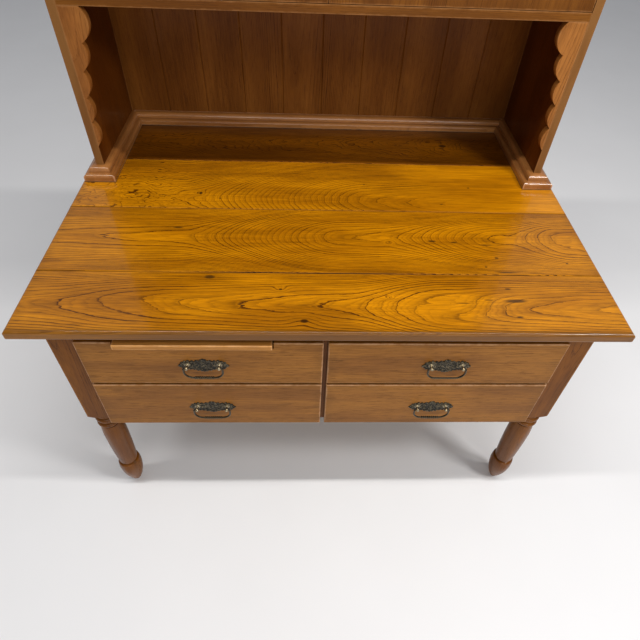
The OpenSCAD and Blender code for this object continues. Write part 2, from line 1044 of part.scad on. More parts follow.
// The field of a right-hand door's panel, with its tongues.
module field_blank(g = 0) {
    y = hutch_front + (door_t - field_t) / 2;
    block(door_x0 + frame_w - 7 - g, door_x1 - frame_w + 7 + g, y - g, y + field_t + g,
        door_z + frame_w - 7 - g, door_z + door_h - frame_w + 7 + g);
}

module door_frame(side) {
    color("chocolate")
    place()
    on_side(side)
    difference() {
        union() {
            for (x = [door_x0, door_x1 - frame_w])
                block(x, x + frame_w, hutch_front, hutch_front + door_t, door_z, door_z + door_h);
            for (z = [door_z, door_z + door_h - frame_w])
                block(door_x0 + frame_w + joint_gap, door_x1 - frame_w - joint_gap, hutch_front,
                    hutch_front + door_t, z, z + frame_w);
        }
        field_blank(joint_gap);
    }
}

module door_panel(side) {
    color("chocolate")
    place()
    on_side(side)
        field_blank();
}

// Heights of the hinges' lower ends.
hinge_zs = [door_z + hinge_in, door_z + door_h - hinge_in - hinge_h];

// The door's leaf and its two barrels.
module door_hinges(side) {
    third = hinge_h / 3;
    color("dimgray")
    place()
    on_side(side)
        for (z = hinge_zs)
            translate([hinge_x, hinge_y, z])
                difference() {
                    union() {
                        for (dz = [0, 2 * third + run_gap])
                            translate([0, 0, dz]) {
                                cylinder(r = barrel_r, h = third - run_gap);
                                block(-barrel_r - 1.5, 0, leaf_front, leaf_back,
                                    0, third - run_gap);
                            }
                        block(-leaf_w, -barrel_r - 1, leaf_front, leaf_back, 0, hinge_h);
                    }
                    translate([0, 0, -eps])
                        cylinder(r = hinge_pin_r + pin_gap, h = hinge_h + 2 * eps);
                }
}

// The case's leaves with the middle barrels and the pins.
module hinge_leaves() {
    third = hinge_h / 3;
    color("dimgray")
    place()
    for (side = [-1, 1])
        on_side(side)
            for (z = hinge_zs)
                translate([hinge_x, hinge_y, z]) {
                    translate([0, 0, third])
                        cylinder(r = barrel_r, h = third);
                    cylinder(r = hinge_pin_r, h = hinge_h);
                    block(0, barrel_r + 1.5, leaf_front, leaf_back, third, 2 * third);
                    block(barrel_r + 1, hutch_t - 1, leaf_front, leaf_back, 0, hinge_h);
                }
}

module door_knob(side) {
    color("dimgray")
    place()
    on_side(side)
        translate([door_x0 + frame_w / 2, hutch_front, door_z + door_h * 0.42])
            rotate([90, 0, 0])
                rotate_extrude() {
                    square([knob_r * 0.7, 2.5]);
                    square([knob_r * 0.38, knob_r * 1.4]);
                    intersection() {
                        translate([0, knob_r * 1.5])
                            circle(knob_r);
                        translate([0, knob_r * 0.95])
                            square([knob_r, knob_r * 1.15]);
                    }
                }
}

top_board(-eps, board_1 - joint_gap);  // top_board_1
top_board(board_1 + joint_gap, board_1 + board_2 - joint_gap);  // top_board_2
top_board(board_1 + board_2 + joint_gap, board_1 + board_2 + board_3 - joint_gap);  // top_board_3
top_board(board_1 + board_2 + board_3 + joint_gap, top_d + eps);  // top_board_4
leg(-1, 1);  // leg_front_left
leg(1, 1);  // leg_front_right
leg(-1, -1);  // leg_rear_left
leg(1, -1);  // leg_rear_right
side_panel(-1);  // side_panel_left
side_panel(1);  // side_panel_right
back_panel();
partition();
rail_top();
rail(mid_rail_z, rail_h);  // rail_middle
rail(leg_h, rail_h);  // rail_bottom
runners();
bread_guides();
bread_board();
drawer_front(-1, true, true);  // upper_left_front
drawer_box(-1, true);  // upper_left_box
drawer_bottom(-1, true);  // upper_left_bottom
pull_plate(-1, upper_plate_z);  // upper_left_plate
bail(-1, upper_plate_z);  // upper_left_bail
drawer_front(1, true);  // upper_right_front
drawer_box(1, true);  // upper_right_box
drawer_bottom(1, true);  // upper_right_bottom
pull_plate(1, upper_plate_z, upper_right_shift);  // upper_right_plate
bail(1, upper_plate_z, false, upper_right_shift);  // upper_right_bail
drawer_front(-1, false);  // lower_left_front
drawer_box(-1, false);  // lower_left_box
drawer_bottom(-1, false);  // lower_left_bottom
pull_plate(-1, lower_plate_z);  // lower_left_plate
bail(-1, lower_plate_z);  // lower_left_bail
drawer_front(1, false);  // lower_right_front
drawer_box(1, false);  // lower_right_box
drawer_bottom(1, false);  // lower_right_bottom
pull_plate(1, lower_plate_z);  // lower_right_plate
bail(1, lower_plate_z);  // lower_right_bail
hutch_side(-1);  // hutch_side_left
hutch_side(1);  // hutch_side_right
hutch_back();
base_moulding(-1);  // base_moulding_left
base_moulding(1);  // base_moulding_right
base_moulding_back();
bracket(-1);  // bracket_left
bracket(1);  // bracket_right
cupboard_floor();
cupboard_shelf();
cupboard_top();
cornice();
door_frame(-1);  // door_left_frame
door_panel(-1);  // door_left_panel
door_hinges(-1);  // door_left_hinges
door_knob(-1);  // door_left_knob
door_frame(1);  // door_right_frame
door_panel(1);  // door_right_panel
door_hinges(1);  // door_right_hinges
door_knob(1);  // door_right_knob
hinge_leaves();
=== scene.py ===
"""The looks of a bakers cabinet: amber varnished wood, aged brass pulls, a pale floor and soft light."""

import logging
import math
from dataclasses import dataclass, field, replace
from enum import Enum
from typing import Sequence, Union

import bmesh
import bpy
from mathutils import Matrix, Vector

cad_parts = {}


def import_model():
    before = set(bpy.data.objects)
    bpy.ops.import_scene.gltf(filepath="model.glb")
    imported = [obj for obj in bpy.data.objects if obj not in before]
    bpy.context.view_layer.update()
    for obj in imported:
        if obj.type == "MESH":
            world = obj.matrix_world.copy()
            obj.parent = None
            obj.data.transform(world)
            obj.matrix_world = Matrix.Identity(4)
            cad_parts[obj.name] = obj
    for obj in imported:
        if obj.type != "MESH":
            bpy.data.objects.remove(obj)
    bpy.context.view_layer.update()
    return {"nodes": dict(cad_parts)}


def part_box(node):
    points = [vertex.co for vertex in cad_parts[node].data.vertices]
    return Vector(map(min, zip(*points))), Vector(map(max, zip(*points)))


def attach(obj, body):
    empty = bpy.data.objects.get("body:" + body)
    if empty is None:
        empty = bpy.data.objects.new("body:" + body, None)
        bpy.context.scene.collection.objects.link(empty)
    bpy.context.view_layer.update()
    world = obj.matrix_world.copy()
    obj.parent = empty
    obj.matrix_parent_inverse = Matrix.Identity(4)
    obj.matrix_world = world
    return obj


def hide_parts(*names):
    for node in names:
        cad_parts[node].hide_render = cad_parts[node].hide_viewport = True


LOG = logging.getLogger("bakers_cabinet")
# How far the part's origin lies behind the top's front edge, in metres
ORIGIN_BACK = 0.4405
MM = 0.001
# Distance in the noise between boards whose seeds differ by one
SEED_STEP = 7.31
# Width of a ring's dark line, and how far the gloss is lost beside an open joint, in metres
LINE_WIDTH = 0.0018
DULL_WIDTH = 0.004

Colour = tuple[float, float, float]
Point = tuple[float, float]
Place = tuple[float, float, float]
Row = tuple[float, ...]
Nodes = dict[str, bpy.types.Object]
Amount = Union["Signal", float]

KNOT_DARK: Colour = (0.02, 0.006, 0.001)
STAIN_DARK: Colour = (0.03, 0.013, 0.003)
JOINT_DARK: Colour = (0.035, 0.014, 0.003)
# Colour of the painted contact shadow along a part's lower edge
CONTACT_SHADE_DARK: Colour = (0.012, 0.004, 0.001)


class Signal:
    """A value that runs through a material's nodes and takes part in plain arithmetic."""

    def __init__(self, paint: "Paint", socket: bpy.types.NodeSocket) -> None:
        """Wraps the output of one of a material's nodes."""
        self.paint = paint
        self.socket = socket

    def maths(self, operation: str, *others: Amount) -> "Signal":
        """Adds one Math node of an operation, with this and the others as its values."""
        return self.paint.node("ShaderNodeMath", {"operation": operation}, dict(enumerate((self, *others))))

    def part(self, name: str) -> "Signal":
        """Returns another output of the same node."""
        return Signal(self.paint, self.socket.node.outputs[name])

    def __add__(self, other: Amount) -> "Signal":
        """Adds."""
        return self.maths("ADD", other)

    def __radd__(self, other: float) -> "Signal":
        """Adds, with the number first."""
        return self.maths("ADD", other)

    def __sub__(self, other: Amount) -> "Signal":
        """Subtracts."""
        return self.maths("SUBTRACT", other)

    def __rsub__(self, other: float) -> "Signal":
        """Subtracts this from a number."""
        return self.paint.node("ShaderNodeMath", {"operation": "SUBTRACT"}, {0: other, 1: self})

    def __mul__(self, other: Amount) -> "Signal":
        """Multiplies."""
        return self.maths("MULTIPLY", other)

    def __truediv__(self, other: Amount) -> "Signal":
        """Divides."""
        return self.maths("DIVIDE", other)

    def __abs__(self) -> "Signal":
        """Returns the size without its sign."""
        return self.maths("ABSOLUTE")

    def low(self, other: Amount) -> "Signal":
        """Returns the smaller of two values."""
        return self.maths("MINIMUM", other)

    def high(self, other: Amount) -> "Signal":
        """Returns the larger of two values."""
        return self.maths("MAXIMUM", other)

    def ramp(self, start: float, end: float) -> "Signal":
        """Eases from 0 at start to 1 at end.

        Args:
            start: The value that gives 0.
            end: The value that gives 1; it may lie below start.

        Returns:
            The eased value.
        """
        if end < start:
            return 1.0 - self.ramp(end, start)
        return self.paint.node(
            "ShaderNodeMapRange",
            {"interpolation_type": "SMOOTHSTEP", "clamp": True},
            {"Value": self, "From Min": start, "From Max": end, "To Min": 0.0, "To Max": 1.0},
        )

    def bell(self, width: float) -> "Signal":
        """Returns a bell round zero: 1 there, and small past width."""
        return (self * self * (-1.0 / (width * width))).maths("EXPONENT")


class Paint:
    """A material under construction."""

    def __init__(self, name: str) -> None:
        """Starts an empty material with its output.

        Args:
            name: The material's name.
        """
        self.material = bpy.data.materials.new(name)
        self.material.use_nodes = True
        self.tree = self.material.node_tree
        self.tree.nodes.clear()
        self.out = self.tree.nodes.new("ShaderNodeOutputMaterial")

    def node(
        self,
        kind: str,
        settings: dict[str, object] | None = None,
        inputs: dict[str | int, object] | None = None,
        output: str | int = 0,
    ) -> Signal:
        """Adds a node of any type.

        Args:
            kind: The node's type.
            settings: Its properties.
            inputs: Values or signals for its sockets.
            output: The output that is wanted.

        Returns:
            That output.
        """
        made = self.tree.nodes.new(kind)
        for key, value in (settings or {}).items():
            setattr(made, key, value)
        for key, value in (inputs or {}).items():
            socket = made.inputs[key]
            if isinstance(value, Signal):
                self.tree.links.new(value.socket, socket)
            elif isinstance(value, tuple) and socket.type == "RGBA":
                socket.default_value = (*value, 1.0)
            else:
                socket.default_value = value
        return Signal(self, made.outputs[output])

    def place(self) -> Signal:
        """Returns the point on the object, in metres."""
        return self.node("ShaderNodeTexCoord", output="Object")

    def split(self) -> Signal:
        """Returns the point's X; part() gives its Y and Z."""
        return self.node("ShaderNodeSeparateXYZ", None, {"Vector": self.place()}, "X")

    def point(self, x: Amount, y: Amount, z: Amount) -> Signal:
        """Joins three values into a point."""
        return self.node("ShaderNodeCombineXYZ", None, {"X": x, "Y": y, "Z": z})

    def distance(self, x: Signal, y: Signal) -> Signal:
        """Returns how far a point of a plane lies from the plane's origin."""
        return self.node("ShaderNodeVectorMath", {"operation": "LENGTH"}, {0: self.point(x, y, 0.0)}, "Value")

    def noise(self, at: Signal, detail: float = 2.0, rough: float = 0.5, scale: float = 1.0) -> Signal:
        """Returns noise from 0 to 1; detail and rough are its finer layers, scale its waves in a metre."""
        values = {"Vector": at, "Scale": scale, "Detail": detail, "Roughness": rough}
        return self.node("ShaderNodeTexNoise", None, values)

    def bump(self, relief: Signal, strength: float) -> Signal:
        """Returns the normal of a surface with a relief in metres."""
        return self.node("ShaderNodeBump", None, {"Strength": strength, "Distance": 1.0, "Height": relief})

    def blend(self, share: Amount, first: "Signal | Colour", second: "Signal | Colour") -> Signal:
        """Mixes a share of the second colour into the first."""
        return self.node("ShaderNodeMix", {"data_type": "RGBA"}, {0: share, 6: first, 7: second}, 2)

    def tint(self, colour: Signal, amount: Amount) -> Signal:
        """Makes a colour lighter or darker by a factor."""
        return self.node("ShaderNodeVectorMath", {"operation": "SCALE"}, {0: colour, 3: amount})

    def finish(self, **inputs: object) -> bpy.types.Material:
        """Adds the surface shader and links it.

        Args:
            inputs: Values or signals for its sockets, with _ for each space in their names.

        Returns:
            The finished material.
        """
        named = {key.replace("_", " "): value for key, value in inputs.items()}
        shader = self.node("ShaderNodeBsdfPrincipled", None, named, "BSDF")
        self.tree.links.new(shader.socket, self.out.inputs["Surface"])
        return self.material


class Grain(Enum):
    """The direction in which a board's grain runs."""

    ALONG_X = 0
    ALONG_Y = 1
    ALONG_Z = 2

    def axes(self, face: "Face") -> tuple[str, str, str]:
        """Returns the axes along the grain, across the face, and through the board."""
        along = "XYZ"[self.value]
        through = face.value
        across = next(a for a in "XYZ" if a not in (along, through))
        return along, across, through


class Face(Enum):
    """The axis that looks out of a board's broad face."""

    X = "X"
    Y = "Y"
    Z = "Z"


@dataclass(frozen=True)
class Figure:
    """How the rings of one board show on its face; lengths are in metres."""

    grain: Grain = Grain.ALONG_X
    face: Face = Face.Z
    # Where the middle of the arches lies across the board
    axis: float = 0.0
    # How fast an arch closes up, in rings for a square metre
    close: float = 1200.0
    # Rings in a metre along the axis
    count: float = 30.0
    # More rings between two places along the axis, each with its start, its end and its number
    rushes: tuple[Row, ...] = ()
    # Islands of closed rings, each with its place along and across, its two sizes and its number of rings
    islands: tuple[Row, ...] = ()
    # Slow drift of the axis
    drift: float = 0.03
    # How unevenly the arches follow each other, in rings
    uneven: float = 3.0
    # Curly figure as in a burl, in rings, and where it ends along the grain
    curl: float = 0.0
    curl_end: float = 10.0
    # Where the rings fade along the grain, start and end
    fade: Point = (20.0, 21.0)
    seed: float = 0.0
    # Knots, each with its place along and across, and its size
    knots: tuple[Row, ...] = ()
    # Dark marks, each with its place along and across, its length and its width
    marks: tuple[Row, ...] = ()
    # Open joints beside the board, each with its place across, its width, its start and its end
    seams: tuple[Row, ...] = ()

    @property
    def shift(self) -> float:
        """Returns the board's place in the noise."""
        return self.seed * SEED_STEP

    def rings(self, paint: Paint, along: Signal, across: Signal, through: Signal) -> tuple[Signal, Signal]:
        """Counts the rings up to a point of the board.

        Args:
            paint: The material.
            along: The place along the grain.
            across: The place across the face.
            through: The depth.

        Returns:
            The number of rings, whose whole steps are the dark lines, and how many there are in a metre.
        """
        shift = self.shift
        sway = paint.noise(paint.point(along * 1.3 + shift, across * 4.0, through * 4.0 + shift)) - 0.5
        step = paint.noise(paint.point(along * 3.1 - shift, across * 6.0, through * 3.0)) - 0.5
        off = across - self.axis + sway * self.drift
        count = off * off * self.close - along * self.count + through * 260.0 + step * self.uneven
        for start, end, rings in self.rushes:
            count = count - along.ramp(start, end) * rings
        for place_along, place_across, length, width, rings in self.islands:
            reach = paint.distance((along - place_along) / length, (across - place_across + sway * 0.02) / width)
            count = count + reach.bell(1.0) * rings
        shiver = paint.noise(paint.point(along * 10.0, across * 60.0, through * 60.0 + shift)) - 0.5
        jag = paint.noise(paint.point(along * 55.0, across * 330.0, through * 330.0 + shift), 3.0, 0.65) - 0.5
        count = count + shiver * 0.5 + jag * 0.22
        crowded: Amount = 0.0
        if self.curl > 0:
            swirl = paint.noise(paint.point(along * 9.0 + shift, across * 16.0, through * 10.0), 3.0, 0.62) - 0.5
            swirl = swirl * along.ramp(self.curl_end + 0.1, self.curl_end - 0.1)
            count = count + swirl * self.curl
            crowded = abs(swirl) * (self.curl * 36.0)
        lean = off * (2.0 * self.close)
        return count, (lean * lean + self.count**2).maths("SQRT") + crowded


@dataclass(frozen=True)
class WoodFinish:
    """A finish on wood."""

    pale: Colour
    body: Colour
    line: Colour
    pore: Colour
    # Colour of rubbed arrises; on the drawer fronts it is also a painted highlight
    worn_and_highlight: Colour
    rings: float = 0.7
    # Strength of the finer lines between the rings
    fine: float = 0.3
    pores: float = 0.55
    mottle: float = 0.35
    rough: float = 0.34
    specular: float = 0.15
    coat: float = 0.5
    coat_rough: float = 0.12
    wear: float = 0.5
    wear_width: float = 0.004
    grime: float = 0.25
    # Colour of the front edge, its strength, and how far back it reaches
    front_colour: Colour = (0.2, 0.1, 0.03)
    front: float = 0.0
    front_depth: float = 0.002
    # How dark the painted contact shadow is along the lower edge
    contact_shade: float = 0.0

    def dress(self, name: str, figure: Figure, low: Vector, high: Vector) -> bpy.types.Material:
        """Builds the material of one board.

        Args:
            name: The material's name.
            figure: The board's figure.
            low: The board's lowest corner.
            high: The board's highest corner.

        Returns:
            The material.
        """
        paint = Paint(name)
        spot = paint.split()
        along, across, through = (spot.part(axis) for axis in figure.grain.axes(figure.face))
        shift = figure.shift
        rings, crowd = figure.rings(paint, along, across, through)
        hole: Amount = 0.0
        for knot_along, knot_across, size in figure.knots:
            reach = paint.distance((along - knot_along) * 0.6, across - knot_across)
            rings = rings + reach.bell(size * 3.2) * 1.6
            hole = reach.ramp(size, size * 0.5).high(hole)
        # Each ring has its own strength, and is broken into dashes and patches
        count = rings.maths("FLOOR")
        turn = rings - count
        chance = paint.node("ShaderNodeTexWhiteNoise", {"noise_dimensions": "1D"}, {"W": count}, "Value")
        dash = paint.noise(paint.point(along * 70.0, across * 900.0, through * 900.0), 2.0, 0.6)
        patch = paint.noise(paint.point(along * 5.0 + shift, across * 26.0, through * 26.0)).ramp(0.34, 0.6)
        line = (turn / (crowd * LINE_WIDTH + 0.05).low(0.6)).ramp(1.0, 0.3)
        fine = (rings * 3.0 + patch * 0.7).maths("FRACT").ramp(0.6, 0.0)
        band = line * (chance * chance * 1.1 + 0.35) * (patch * 0.7 + 0.5) + turn.ramp(0.7, 0.05) * 0.2
        band = band * (0.35 + dash * 1.3) + fine * (dash + chance * 0.5) * self.fine
        band = band * along.ramp(figure.fade[1], figure.fade[0])
        # Pores, fibres and clouds
        streak = paint.noise(paint.point(along * 36.0, across * 480.0, through * 480.0), 2.0, 0.6)
        pore = streak.ramp(0.5, 0.66) * (band * 0.7 + 0.3)
        fibre = paint.noise(paint.point(along * 9.0, across * 210.0, through * 210.0 + shift), 4.0, 0.7) - 0.5
        cloud = paint.noise(paint.point(along * 2.6 + shift, across * 13.0, through * 13.0), 3.0, 0.6)
        colour = paint.blend(cloud.ramp(0.32, 0.66), self.body, self.pale)
        colour = paint.blend(band.low(1.0) * self.rings, colour, self.line)
        colour = paint.blend(pore * self.pores, colour, self.pore)
        colour = paint.tint(colour, (1.0 + fibre * self.mottle + (cloud - 0.5) * (self.mottle * 0.5)).high(0.1))
        near = spot.part("Y").ramp(low.y + self.front_depth, low.y + self.front_depth * 0.4)
        if self.front:
            colour = paint.blend(near * (patch * 0.3 + 0.7) * self.front, colour, self.front_colour)
        # Knots, stains and open joints
        if figure.knots:
            colour = paint.blend(hole * 0.9, colour, KNOT_DARK)
        for mark_along, mark_across, length, width in figure.marks:
            stain = (along - mark_along + (dash - 0.5) * 0.006).bell(length) * (across - mark_across).bell(width)
            colour = paint.blend(stain.ramp(0.25, 0.8) * 0.8, colour, STAIN_DARK)
        dull: Amount = 0.0
        for seam, width, start, end in figure.seams:
            reach = along.ramp(start - 0.03, start + 0.03) * along.ramp(end + 0.03, end - 0.03)
            gap = abs(across - seam)
            crack = (gap + (dash - 0.5) * (width * 0.4)).ramp(width, width * 0.5) * reach
            colour = paint.blend(crack * 0.9, colour, JOINT_DARK)
            dull = gap.ramp(DULL_WIDTH, DULL_WIDTH * 0.5).high(dull)
        # Rubbed arrises, lighter from wear and, on the drawer fronts, also as a painted highlight, with dirt behind
        # them
        edge = self.edge(spot, low, high)
        ragged = paint.noise(paint.place(), 3.0, 0.65, 55.0)
        rubbed = (edge + (ragged - 0.5) * (self.wear_width * 1.6)).ramp(self.wear_width, 0.0) * self.wear
        soil = (edge + (ragged - 0.5) * 0.02).ramp(0.03, 0.006) * (1.0 - rubbed) * self.grime
        colour = paint.blend(soil, colour, paint.tint(colour, 0.55))
        colour = paint.blend(rubbed, colour, self.worn_and_highlight)
        # Painted contact shadow: a dark band along the lower edge, where the part meets what it stands on
        if self.contact_shade:
            contact_shade_band = (spot.part("Z") + (ragged - 0.5) * 0.004).ramp(low.z + 0.004, low.z + 0.001)
            colour = paint.blend(contact_shade_band * self.contact_shade, colour, CONTACT_SHADE_DARK)
        gloss = (1.0 - pore * 0.4 - rubbed * 0.4) * (1.0 - near * 0.6) * (1.0 - dull)
        relief = fibre * 0.00004 - pore * 0.00006 - band * 0.00005 + (cloud - 0.5) * 0.0006
        return paint.finish(
            Base_Color=colour,
            Roughness=(cloud - 0.5) * 0.12 + pore * 0.16 + rubbed * 0.15 + self.rough + dull * 0.4,
            Normal=paint.bump(relief, 0.6),
            Coat_Weight=gloss * self.coat,
            Coat_Roughness=self.coat_rough,
            Specular_IOR_Level=self.specular,
        )

    @staticmethod
    def edge(spot: Signal, low: Vector, high: Vector) -> Signal:
        """Returns the distance to the board's nearest arris, the middle one of those to its faces."""
        values = [spot.part(axis) for axis in "XYZ"]
        first, second, third = ((value - start).low(end - value) for value, start, end in zip(values, low, high))
        return first.low(second).high(first.high(second).low(third))


@dataclass(frozen=True)
class BrassFinish:
    """Aged brass: dark in the hollows and rubbed bright on what stands out."""

    dark: Colour = (0.022, 0.017, 0.009)
    bright: Colour = (0.5, 0.42, 0.27)
    rough: float = 0.36
    rubbed: float = 0.75
    # How unevenly it is rubbed
    uneven: float = 0.3

    def dress(self, name: str, deep: float, proud: float) -> bpy.types.Material:
        """Builds the material.

        Args:
            name: The material's name.
            deep: The place along Y where the metal is darkest.
            proud: The place along Y where it is brightest.

        Returns:
            The material.
        """
        paint = Paint(name)
        patch = paint.noise(paint.place(), 3.0, 0.6, 220.0)
        speck = paint.noise(paint.place(), scale=900.0)
        raised = (paint.split().part("Y") + (patch - 0.5) * 0.0022).ramp(deep, proud)
        share = (raised * self.rubbed + (patch - 0.5) * self.uneven).high(0.0).low(1.0)
        return paint.finish(
            Base_Color=paint.tint(paint.blend(share, self.dark, self.bright), 0.75 + speck * 0.5),
            Roughness=self.rough + (patch - 0.5) * 0.3 - share * 0.12,
            Metallic=0.9,
            Normal=paint.bump(speck * 0.00012 + patch * 0.0002, 0.7),
            Coat_Weight=0.25,
            Coat_Roughness=0.25,
        )


TOP_VARNISH = WoodFinish(
    pale=(0.53, 0.2, 0.001), body=(0.4, 0.138, 0.0007), line=(0.085, 0.023, 0.0003), pore=(0.05, 0.014, 0.0002),
    worn_and_highlight=(0.4, 0.18, 0.05), rings=1.0, mottle=1.3, rough=0.32, coat=0.8, coat_rough=0.1, wear=0.2,
    front_colour=(0.14, 0.052, 0.004), front=0.85, front_depth=0.012,
)
# The rear board of the top: darker colours as painted shade under the upper case
REAR_PAINTED_SHADE = replace(
    TOP_VARNISH, pale=(0.3, 0.095, 0.0006), body=(0.2, 0.058, 0.0004), line=(0.06, 0.014, 0.0002), front=0.0,
)
LEG_VARNISH = WoodFinish(
    pale=(0.21, 0.07, 0.005), body=(0.14, 0.042, 0.003), line=(0.08, 0.023, 0.002), pore=(0.05, 0.014, 0.001),
    worn_and_highlight=(0.4, 0.19, 0.06), rings=0.55, mottle=0.6, specular=0.06, coat=0.3, wear=0.4,
)
CASE_VARNISH = WoodFinish(
    pale=(0.22, 0.078, 0.009), body=(0.16, 0.053, 0.006), line=(0.09, 0.026, 0.003), pore=(0.055, 0.015, 0.002),
    worn_and_highlight=(0.36, 0.17, 0.06), rings=0.6, mottle=0.6, rough=0.38, specular=0.08, coat=0.15, wear=0.45,
)
# The pale colour on the fronts' arrises is wear and also a painted highlight on their top arris
DRAWER_VARNISH = WoodFinish(
    pale=(0.31, 0.125, 0.018), body=(0.24, 0.09, 0.012), line=(0.14, 0.047, 0.005), pore=(0.09, 0.03, 0.003),
    worn_and_highlight=(0.6, 0.36, 0.21), rings=0.45, pores=0.85, mottle=0.9, rough=0.4, specular=0.1, coat=0.18, coat_rough=0.16,
)
BARE_WOOD = WoodFinish(
    pale=(0.5, 0.33, 0.16), body=(0.4, 0.24, 0.11), line=(0.27, 0.15, 0.06), pore=(0.2, 0.11, 0.045),
    worn_and_highlight=(0.55, 0.38, 0.22), rings=0.5, rough=0.62, coat=0.0, wear=0.4, grime=0.5,
)
BREAD_WOOD = WoodFinish(
    pale=(0.62, 0.29, 0.065), body=(0.5, 0.21, 0.037), line=(0.26, 0.09, 0.018), pore=(0.16, 0.055, 0.011),
    worn_and_highlight=(0.7, 0.4, 0.18), rings=0.55, mottle=0.6, rough=0.42, coat=0.15,
)
MOULDING_VARNISH = WoodFinish(
    pale=(0.4, 0.165, 0.045), body=(0.28, 0.1, 0.022), line=(0.15, 0.048, 0.01), pore=(0.09, 0.027, 0.006),
    worn_and_highlight=(0.66, 0.37, 0.2), rings=0.5, mottle=0.7, rough=0.28, coat=1.0, coat_rough=0.17, wear=0.6, wear_width=0.005,
    # Painted contact shadow along the mouldings' lower edge
    contact_shade=0.85,
)
EDGE_VARNISH = replace(CASE_VARNISH, pale=(0.36, 0.14, 0.03), body=(0.28, 0.1, 0.02), line=(0.15, 0.045, 0.008))
# Darker colours as painted shade, for the partition and the back boarding deep in the case
PAINTED_SHADE_VARNISH = replace(
    CASE_VARNISH, pale=(0.2, 0.068, 0.01), body=(0.145, 0.045, 0.006), line=(0.06, 0.016, 0.002),
    pore=(0.04, 0.01, 0.0012), coat=0.1, wear=0.2,
)
# Hutch side boards: darker colours as painted shade on the inner faces, and a lighter front edge as painted light
SIDE_SHADE_AND_LIT_EDGE = replace(
    PAINTED_SHADE_VARNISH, pale=(0.13, 0.035, 0.003), body=(0.09, 0.022, 0.002),
    front_colour=(0.24, 0.105, 0.028), front=1.0, front_depth=0.003,
)
# Near black as painted shade, for the rails seen only in the dark gaps between the top, the bread board and the
# drawer fronts
GAP_PAINTED_SHADE = replace(PAINTED_SHADE_VARNISH, pale=(0.04, 0.013, 0.003), body=(0.03, 0.009, 0.002), wear=0.0, coat=0.0)
PULL_BRASS = BrassFinish(dark=(0.012, 0.009, 0.004), bright=(0.48, 0.38, 0.22), rough=0.34, rubbed=0.62, uneven=1.6)
BAIL_BRASS = BrassFinish(dark=(0.01, 0.007, 0.003), bright=(0.16, 0.12, 0.06), rough=0.42, rubbed=0.4, uneven=0.8)
HINGE_BRASS = BrassFinish(dark=(0.09, 0.07, 0.04), bright=(0.4, 0.32, 0.18), rough=0.45, rubbed=0.35)


def seed_of(name: str) -> float:
    """Returns a number from 0 to 10 that belongs to a name."""
    return (sum((index + 3) * ord(letter) for index, letter in enumerate(name)) % 997) / 99.7


def paint_node(node: bpy.types.Object, material: bpy.types.Material) -> None:
    """Gives a CAD node its material."""
    node.data.materials.clear()
    node.data.materials.append(material)


def soften(node: bpy.types.Object, width: float) -> None:
    """Breaks the sharp arrises of a CAD node with modifiers, which leave its own mesh as it is.

    Args:
        node: The node's object.
        width: The width of the broken arris.
    """
    weld = node.modifiers.new("weld", "WELD")
    weld.merge_threshold = 0.02 * MM
    ease = node.modifiers.new("ease", "BEVEL")
    ease.width = width
    ease.segments = 2
    ease.limit_method = "ANGLE"
    ease.angle_limit = math.radians(50)
    ease.harden_normals = True
    ease.use_clamp_overlap = True


@dataclass
class Board:
    """A CAD node of wood with its finish, its figure, and the width of its broken arrises in metres."""

    node: str
    finish: WoodFinish
    figure: Figure
    ease: float = 0.0

    @classmethod
    def plain(
        cls, node: str, finish: WoodFinish, grain: Grain, face: Face, close: float = 900.0, count: float = 5.0,
        ease: float = 0.0, axis: float = 0.8,
    ) -> "Board":
        """Returns a board with a quiet grain.

        Args:
            node: The node's name, which also seeds the figure.
            finish: The finish.
            grain: The direction of the grain.
            face: The broad face.
            close: How fast the arches close up.
            count: Rings in a metre along the grain.
            ease: The width of the broken arrises.
            axis: How far out the arches' middle may lie, as a share of the board's half width.

        Returns:
            The board.
        """
        low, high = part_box(node)
        seed = seed_of(node)
        index = "XYZ".index(grain.axes(face)[1])
        middle = (low[index] + high[index]) / 2
        reach = (high[index] - low[index]) / 2
        middle += reach * math.sin(seed * 2.3) * axis
        figure = Figure(grain=grain, face=face, axis=middle, close=close, count=count, uneven=1.6, seed=seed)
        return cls(node, finish, figure, ease)

    def dress(self, nodes: Nodes) -> None:
        """Dresses the node.

        Args:
            nodes: The CAD nodes by name.
        """
        low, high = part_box(self.node)
        paint_node(nodes[self.node], self.finish.dress(f"wood_{self.node}", self.figure, low, high))
        if self.ease > 0:
            soften(nodes[self.node], self.ease)
        LOG.info("board %s, grain %s", self.node, self.figure.grain.name)


class Assembly:
    """A group of boards that are dressed together."""

    def boards(self) -> list[Board]:
        """Returns the group's wooden nodes."""
        raise NotImplementedError

    def dress(self, nodes: Nodes) -> None:
        """Dresses the group, with the CAD nodes by name."""
        for board in self.boards():
            board.dress(nodes)


